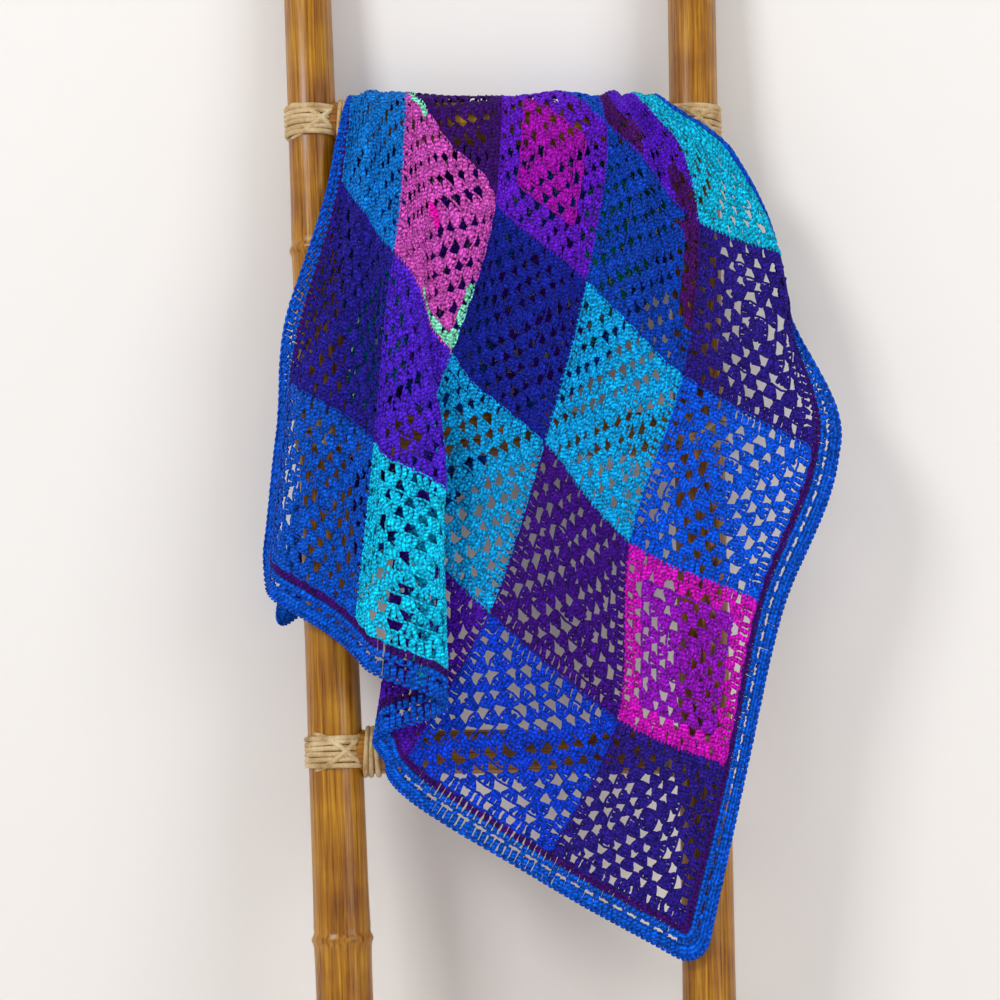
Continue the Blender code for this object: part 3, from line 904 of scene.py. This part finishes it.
@dataclass
class Edging:
    """The border: a dark row, a blue row, a row of eyelets and a firm outer row with a corded edge.

    Sizes are in mm. A side is 0 for the front hem, 1 left, 2 for the back hem and 3 right.
    """

    drape: Drape
    finish: bpy.types.Material
    width: float = 29.0
    dark: str = "3B0A6B"
    blue: str = "0456CE"
    hem_pitch: float = 5.2  # the hems are worked a little looser than the sides
    side_pitch: float = 4.5
    eyelet_pitch: float = 15.0
    chain_step: float = 3.0  # from one point of a chain to the next
    stray: float = 0.2  # how far a stitch strays
    lie: float = 0.27  # how thick a stitch lies for its width
    sides: int = 5

    @property
    def corner(self) -> float:
        """How far each side's rows go on round a corner, up to its middle."""
        return 0.5 * math.pi * 0.5 * self.width

    def length(self, side: int) -> float:
        """Length of a side of the squares."""
        return (ACROSS if side % 2 == 0 else ALONG) * SQUARE

    def walk(self, side: int, places: np.ndarray, out: np.ndarray) -> np.ndarray:
        """Turns places along one side and distances out from the squares into flat points.

        Args:
            side: which side.
            places: along the side, past its ends round the corner.
            out: how far out from the squares.
        Returns:
            The points.
        """
        wide, tall, length = ACROSS * SQUARE, ALONG * SQUARE, self.length(side)
        before, after = np.clip(-places, 0, None), np.clip(places - length, 0, None)
        bend = (after - before) / self.corner * math.pi / 4
        on, away = np.clip(places, 0, length) + out * np.sin(bend), out * np.cos(bend)
        flat = ((on, -away), (wide + away, on), (wide - on, tall + away), (-away, tall - on))[side]
        return np.stack(flat, -1)

    def spaced(self, side: int, pitch: float) -> np.ndarray:
        """Spaces stitches evenly along a side, and round both its corners to their middles.

        Args:
            side: which side.
            pitch: from one stitch to the next, nearly.
        Returns:
            Their places along the side.
        """
        start, end = -self.corner, self.length(side) + self.corner
        count = int((end - start) / pitch)
        return start + (np.arange(count) + 0.5) * (end - start) / count

    def posts(self, ball: YarnBall, side: int, span: tuple[float, float], pitch: float, colour: str,
              wide: float, chance: np.random.Generator) -> None:
        """Works a row of upright stitches between two distances from the squares.

        Args:
            ball: where they go.
            side: which side of the blanket.
            span: how far out their feet and heads are.
            pitch: from one to the next.
            colour: their sRGB hex colour.
            wide: half their width.
            chance: the seeded source of chance.
        """
        places = self.spaced(side, pitch)
        count = len(places)
        climb = np.array([0.0, 0.3, 0.7, 1.0])
        flat = np.stack([self.walk(side, places + chance.normal(0, self.stray, count), np.full(count, far))
                         for far in span[0] + climb * (span[1] - span[0])], axis=1)
        lines = lifted(flat, np.array([-0.6, 0.7, 0.8, 0.1]))
        lines[..., :2] += chance.normal(0, self.stray, lines[..., :2].shape)
        radii = np.array([0.9, 1.0, 1.0, 0.85]) * wide * (1 + chance.normal(0, 0.05, (count, 1)))
        ball.lay(lines, radii, of_one(colour, count, chance), self.sides, squash=self.lie)

    def chain(self, ball: YarnBall, side: int, out: float, fat: float) -> None:
        """Works a blue chain along the side, as one wavering strand.

        Args:
            ball: where it goes.
            side: which side of the blanket.
            out: how far out from the squares.
            fat: the strand's radius.
        """
        start, end = -self.corner, self.length(side) + self.corner
        count = int((end - start) / self.chain_step)
        waver = np.cos(np.arange(count) * math.pi)
        flat = self.walk(side, np.linspace(start, end, count), out + 0.5 * waver)
        line = np.concatenate([flat, (1.0 + 0.3 * waver)[:, None]], axis=1)
        ball.lay(line[None], np.full(count, fat), dyes_of([self.blue]))

    def cord(self, ball: YarnBall, side: int, out: float, pitch: float, fat: float, sway: float,
             chance: np.random.Generator) -> None:
        """Works the blue corded edge: short slanted strands, one over the next.

        Args:
            ball: where it goes.
            side: which side of the blanket.
            out: how far out from the squares.
            pitch: from one strand to the next.
            fat: the strands' radius.
            sway: how far they slant to each side.
            chance: the seeded source of chance.
        """
        places = self.spaced(side, pitch)
        count = len(places)
        steps = np.array([-0.6, -0.2, 0.2, 0.6]) * pitch
        slant = np.array([-1.0, -0.5, 0.5, 1.0]) * sway
        flat = np.stack([self.walk(side, places + step, np.full(count, out + lean))
                         for step, lean in zip(steps, slant)], axis=1)
        lines = lifted(flat, np.array([0.0, 1.0, 1.0, 0.0]))
        radii = np.array([0.7, 1.0, 1.0, 0.7]) * fat * (1 + chance.normal(0, 0.05, (count, 1)))
        ball.lay(lines, radii, of_one(self.blue, count, chance))

    def side(self, side: int, name: str) -> bpy.types.Object:
        """Works the border along one side, from the squares outwards.

        Args:
            side: which side.
            name: the piece's name.
        Returns:
            The new piece.
        """
        chance = np.random.default_rng(200 + side)
        ball = YarnBall(self.drape)
        pitch = self.hem_pitch if side % 2 == 0 else self.side_pitch
        self.posts(ball, side, (-1.6, 6.6), pitch, self.dark, 2.9, chance)
        self.posts(ball, side, (6.0, 12.0), pitch, self.blue, 2.8, chance)
        self.chain(ball, side, out=12.2, fat=1.0)
        self.posts(ball, side, (11.8, 16.4), self.eyelet_pitch, self.blue, 3.1, chance)
        self.posts(ball, side, (15.6, 26.6), pitch, self.blue, 3.0, chance)
        self.cord(ball, side, out=27.0, pitch=5.4, fat=1.6, sway=1.3, chance=chance)
        piece = ball.wind(name, self.finish)
        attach(piece, "root")
        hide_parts("crochet_border")
        return piece

    def build(self) -> list[bpy.types.Object]:
        """Works the four sides.

        Returns:
            The new pieces.
        """
        names = ("edging_front_hem", "edging_left", "edging_back_hem", "edging_right")
        return [self.side(number, name) for number, name in enumerate(names)]


# ---------------------------------------------------------------- the ladder


def alone(piece: bpy.types.Object) -> None:
    """Selects one object and nothing else."""
    bpy.ops.object.select_all(action="DESELECT")
    piece.select_set(True)
    bpy.context.view_layer.objects.active = piece


def hump(size: tuple[float, float], off: float) -> float:
    """How high a rounded form of a height and half width stands, at a distance from its middle."""
    return size[0] * math.exp(-(off / size[1]) ** 2)


def turned(degrees: float, axis: str) -> Matrix:
    """A turn by some degrees about an axis."""
    return Matrix.Rotation(math.radians(degrees), 4, axis)


def put(piece: bpy.types.Object, matrix: Matrix) -> None:
    """Moves a finished mesh to its place and leaves its object at the origin."""
    piece.data.transform(matrix)
    piece.matrix_world = Matrix.Identity(4)


@dataclass
class Culm:
    """A turned bamboo rail: a slight swell and a sharp ring with a groove at each node.

    Sizes are in metres. A ring, groove or swell has its height or depth, and its half width.
    """

    line: RailLine
    finish: bpy.types.Material
    steps: int = 48
    ring: tuple[float, float] = (0.0020, 0.0035)
    groove: tuple[float, float] = (0.0009, 0.0020)
    groove_over: float = 0.0085  # how far over its ring the groove runs
    swell: tuple[float, float] = (0.0008, 0.022)
    chamfer: tuple[float, float] = (0.0012, 0.0015)  # across and down, at the sawn top
    spare: float = 0.004  # left under the foot until it is sawn level
    plain_cut: float = 0.3  # one more cut, between the two lowest nodes
    cuts: tuple[float, ...] = (-0.05, -0.022, -0.010, -0.006, -0.0035, -0.001, 0.001, 0.004, 0.007, 0.012,
                               0.03, 0.06)  # where the lathe cuts about a node

    def profile(self) -> list[tuple[float, float]]:
        """Draws the outline to turn.

        Returns:
            Radius and distance along the culm, from the floor up.
        """
        length = (self.line.point(RAIL_TOP) - self.line.point(0)).length
        marks = {0.0, self.plain_cut, length - self.chamfer[1]}
        marks.update(z + cut for z in self.line.nodes for cut in self.cuts)
        shape = [(0.0, 0.0)]
        for z in sorted(marks):
            r = self.line.radius(z)
            for middle in self.line.nodes:
                off = z - middle
                r += hump(self.swell, off) + hump(self.ring, off)
                r -= hump(self.groove, off - self.groove_over)
            shape.append((r, z))
        return shape + [(self.line.radius(length) - self.chamfer[0], length), (0.0, length)]

    def build(self) -> bpy.types.Object:
        """Turns the culm, stands it along the rail and saws its foot level.

        Returns:
            The new piece.
        """
        shape = self.profile()
        mesh = bpy.data.meshes.new(f"{self.line.name}_culm")
        mesh.from_pydata([(r, 0, z) for r, z in shape], [(k, k + 1) for k in range(len(shape) - 1)], [])
        piece = bpy.data.objects.new(mesh.name, mesh)
        bpy.context.scene.collection.objects.link(piece)
        alone(piece)
        bpy.ops.object.mode_set(mode="EDIT")
        bpy.ops.mesh.select_all(action="SELECT")
        bpy.ops.mesh.spin(steps=self.steps, angle=2 * math.pi, center=(0, 0, 0), axis=(0, 0, 1))
        bpy.ops.mesh.select_all(action="SELECT")
        bpy.ops.mesh.remove_doubles(threshold=1e-6)
        bpy.ops.mesh.normals_make_consistent(inside=False)
        bpy.ops.object.mode_set(mode="OBJECT")
        for point in piece.data.vertices:
            if point.co.z < 1e-4:
                point.co.z = -self.spare
        put(piece, Matrix.Translation(self.line.point(0)) @ self.line.turn().to_matrix().to_4x4())
        bpy.ops.object.mode_set(mode="EDIT")
        bpy.ops.mesh.select_all(action="SELECT")
        bpy.ops.mesh.bisect(plane_co=(0, 0, 0.0001), plane_no=(0, 0, 1), use_fill=True, clear_inner=True)
        bpy.ops.object.mode_set(mode="OBJECT")
        piece.data.materials.append(self.finish)
        piece.data.shade_smooth()
        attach(piece, "root")
        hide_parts(self.line.name)
        log.info("%s: %d faces", piece.name, len(piece.data.polygons))
        return piece


@dataclass
class Lashing:
    """A wound rattan lashing: flat turns round the rail, and turns round the rung's end."""

    line: RailLine
    number: int  # of its rung, counted from 0 at the top
    finish: bpy.types.Material
    turns: int = 6
    pitch: float = 0.0050
    cane: float = 0.0026  # half the width of a cane
    rung_turns: int = 3
    rung_radius: float = 0.0208
    bedded: float = 0.55  # how far a cane's middle stands off what it binds, in its half widths
    over_turns: float = 1.3  # the same for the two that cross over the others
    cross_slope: float = 38.0  # of those two, in degrees
    uneven: float = 2.2  # how far a turn tilts, in degrees
    rung_uneven: float = 3.0
    rung_from: float = 0.004  # from the rail to the first turn round the rung
    rail_lie: float = 1.05  # how tall the cane round the rail lies for its width

    def hoop(self, radius: float, matrix: Matrix, squash: float = 1.0) -> bpy.types.Object:
        """Makes one turn of cane.

        Args:
            radius: of the ring that it makes.
            matrix: its place.
            squash: how tall the cane lies for its width.
        Returns:
            The ring.
        """
        bpy.ops.mesh.primitive_torus_add(major_segments=36, minor_segments=6, major_radius=radius,
                                         minor_radius=self.cane)
        made = bpy.context.active_object
        made.data.transform(matrix @ Matrix.Diagonal((1, 1, squash, 1)))
        return made

    def build(self) -> bpy.types.Object:
        """Winds the turns and joins them into one piece.

        Returns:
            The new piece.
        """
        z = TOP_RUNG_Z - RUNG_SPACING * self.number
        chance = np.random.default_rng(300 + self.number * 2 + (self.line.side > 0))
        centre, radius = self.line.point(z), self.line.radius(z)
        stand = Matrix.Translation(centre) @ self.line.turn().to_matrix().to_4x4()
        bpy.ops.object.select_all(action="DESELECT")
        rings = []
        for k in range(self.turns):
            tilt = turned(float(chance.normal(0, self.uneven)), "X")
            sway = turned(float(chance.normal(0, self.uneven)), "Y")
            rise = Matrix.Translation((0, 0, (k - (self.turns - 1) / 2) * self.pitch))
            place = stand @ rise @ tilt @ sway
            rings.append(self.hoop(radius + self.cane * self.bedded, place, self.rail_lie))
        for k in range(self.rung_turns):
            off = radius + self.rung_from + k * self.pitch
            lie = Matrix.Translation(centre + Vector((-self.line.side * off, 0, 0))) @ turned(90, "Y")
            tilt = turned(float(chance.normal(0, self.rung_uneven)), "Y")
            rings.append(self.hoop(self.rung_radius + self.cane * self.bedded, lie @ tilt))
        for slope in (self.cross_slope, -self.cross_slope):
            rings.append(self.hoop(radius + self.cane * self.over_turns, stand @ turned(slope, "Y")))
        bpy.ops.object.select_all(action="DESELECT")
        for ring in rings:
            ring.select_set(True)
        bpy.context.view_layer.objects.active = rings[0]
        bpy.ops.object.join()
        side = "left" if self.line.side < 0 else "right"
        piece = bpy.context.active_object
        piece.name = piece.data.name = f"cane_{side}_{self.number + 1}"
        piece.data.materials.clear()
        piece.data.materials.append(self.finish)
        piece.data.shade_smooth()
        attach(piece, "root")
        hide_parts(f"lashing_{side}_{self.number + 1}")
        log.info("%s: %d faces", piece.name, len(piece.data.polygons))
        return piece


@dataclass
class Ladder:
    """The bamboo ladder: turned rails, the frame's own rungs in bamboo, and wound lashings."""

    rungs: int = 4

    def build(self) -> None:
        """Builds and dresses the ladder."""
        across = CuredBamboo("cured_bamboo_rung", Grain.ACROSS).make()
        cane = SplitCane("split_rattan_cane").make()
        for line in RAILS:
            turn = tuple(line.turn().to_euler())
            Culm(line, CuredBamboo(f"cured_bamboo_{line.name}", Grain.UPRIGHT, turn).make()).build()
        for number in range(self.rungs):
            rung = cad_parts[f"rung_{number + 1}"]
            rung.data.materials.clear()
            rung.data.materials.append(across)
            log.info("%s: bamboo", rung.name)
            for line in RAILS:
                Lashing(line, number, cane).build()


# ---------------------------------------------------------------- studio


@dataclass
class Studio:
    """A pale wall and floor, soft light from the upper left, and the camera."""

    eye: tuple[float, float, float] = (0.0, -2.6, 0.937)  # from the ladder's own middle line
    focal_px: float = 2694.0
    frame_px: float = 1000.0
    sensor_mm: float = 36.0
    wall_y: float = 0.054
    backdrop: float = 8.0  # side of the wall and of the floor
    air: float = 0.46  # strength of the light from all round

    def plane(self, name: str, matrix: Matrix, finish: bpy.types.Material) -> None:
        """Adds a backdrop plane.

        Args:
            name: the plane's name.
            matrix: its place.
            finish: its paint.
        """
        bpy.ops.mesh.primitive_plane_add(size=self.backdrop)
        made = bpy.context.active_object
        made.name = name
        made.data.transform(matrix)
        made.data.materials.append(finish)

    def lamp(self, name: str, place: tuple, aim: tuple, size: float, power: float) -> None:
        """Adds a soft square lamp.

        Args:
            name: the lamp's name.
            place: where it hangs, in metres.
            aim: the point that it faces.
            size: its side in metres.
            power: in watts.
        """
        data = bpy.data.lights.new(name, "AREA")
        data.size, data.energy = size, power
        made = bpy.data.objects.new(name, data)
        made.location = place
        made.rotation_euler = (Vector(aim) - Vector(place)).to_track_quat("-Z", "Y").to_euler()
        bpy.context.scene.collection.objects.link(made)

    def build(self) -> None:
        """Builds the studio."""
        scene = bpy.context.scene
        scene.view_settings.view_transform = "Standard"
        paint = PlainPaint("wall_paint", "F4F1EE").make()
        shift = Vector(STANCE)
        self.plane("floor", Matrix.Translation((0, -3.5, 0)), paint)
        self.plane("wall", Matrix.Translation((0, self.wall_y + shift.y, 2.0)) @ turned(90, "X"), paint)
        self.lamp("key", (-2.6, -3.0, 3.4), (0, 0, 1.0), size=1.2, power=88)
        self.lamp("fill", (2.4, -2.6, 2.0), (0, 0, 0.9), size=2.0, power=40)
        world = bpy.data.worlds.new("studio_air")
        world.use_nodes = True
        light = world.node_tree.nodes["Background"].inputs
        light["Color"].default_value = linear("F6F6F8")
        light["Strength"].default_value = self.air
        scene.world = world
        data = bpy.data.cameras.new("camera")
        data.sensor_width = self.sensor_mm
        data.lens = self.focal_px / self.frame_px * self.sensor_mm
        camera = bpy.data.objects.new("camera", data)
        camera.location = Vector(self.eye) + shift
        camera.rotation_euler = (math.pi / 2, 0, 0)
        scene.collection.objects.link(camera)
        scene.camera = camera


def main() -> None:
    """Builds the blanket, the ladder and the studio, and notes the sizes."""
    drape = Drape()
    squares = BrushedYarn("brushed_yarn_squares").make()
    edging = BrushedYarn("brushed_yarn_edging").make()
    GrannySquares(drape, squares).build()
    Edging(drape, edging).build()
    Ladder().build()
    Studio().build()


if __name__ == "__main__":
    main()
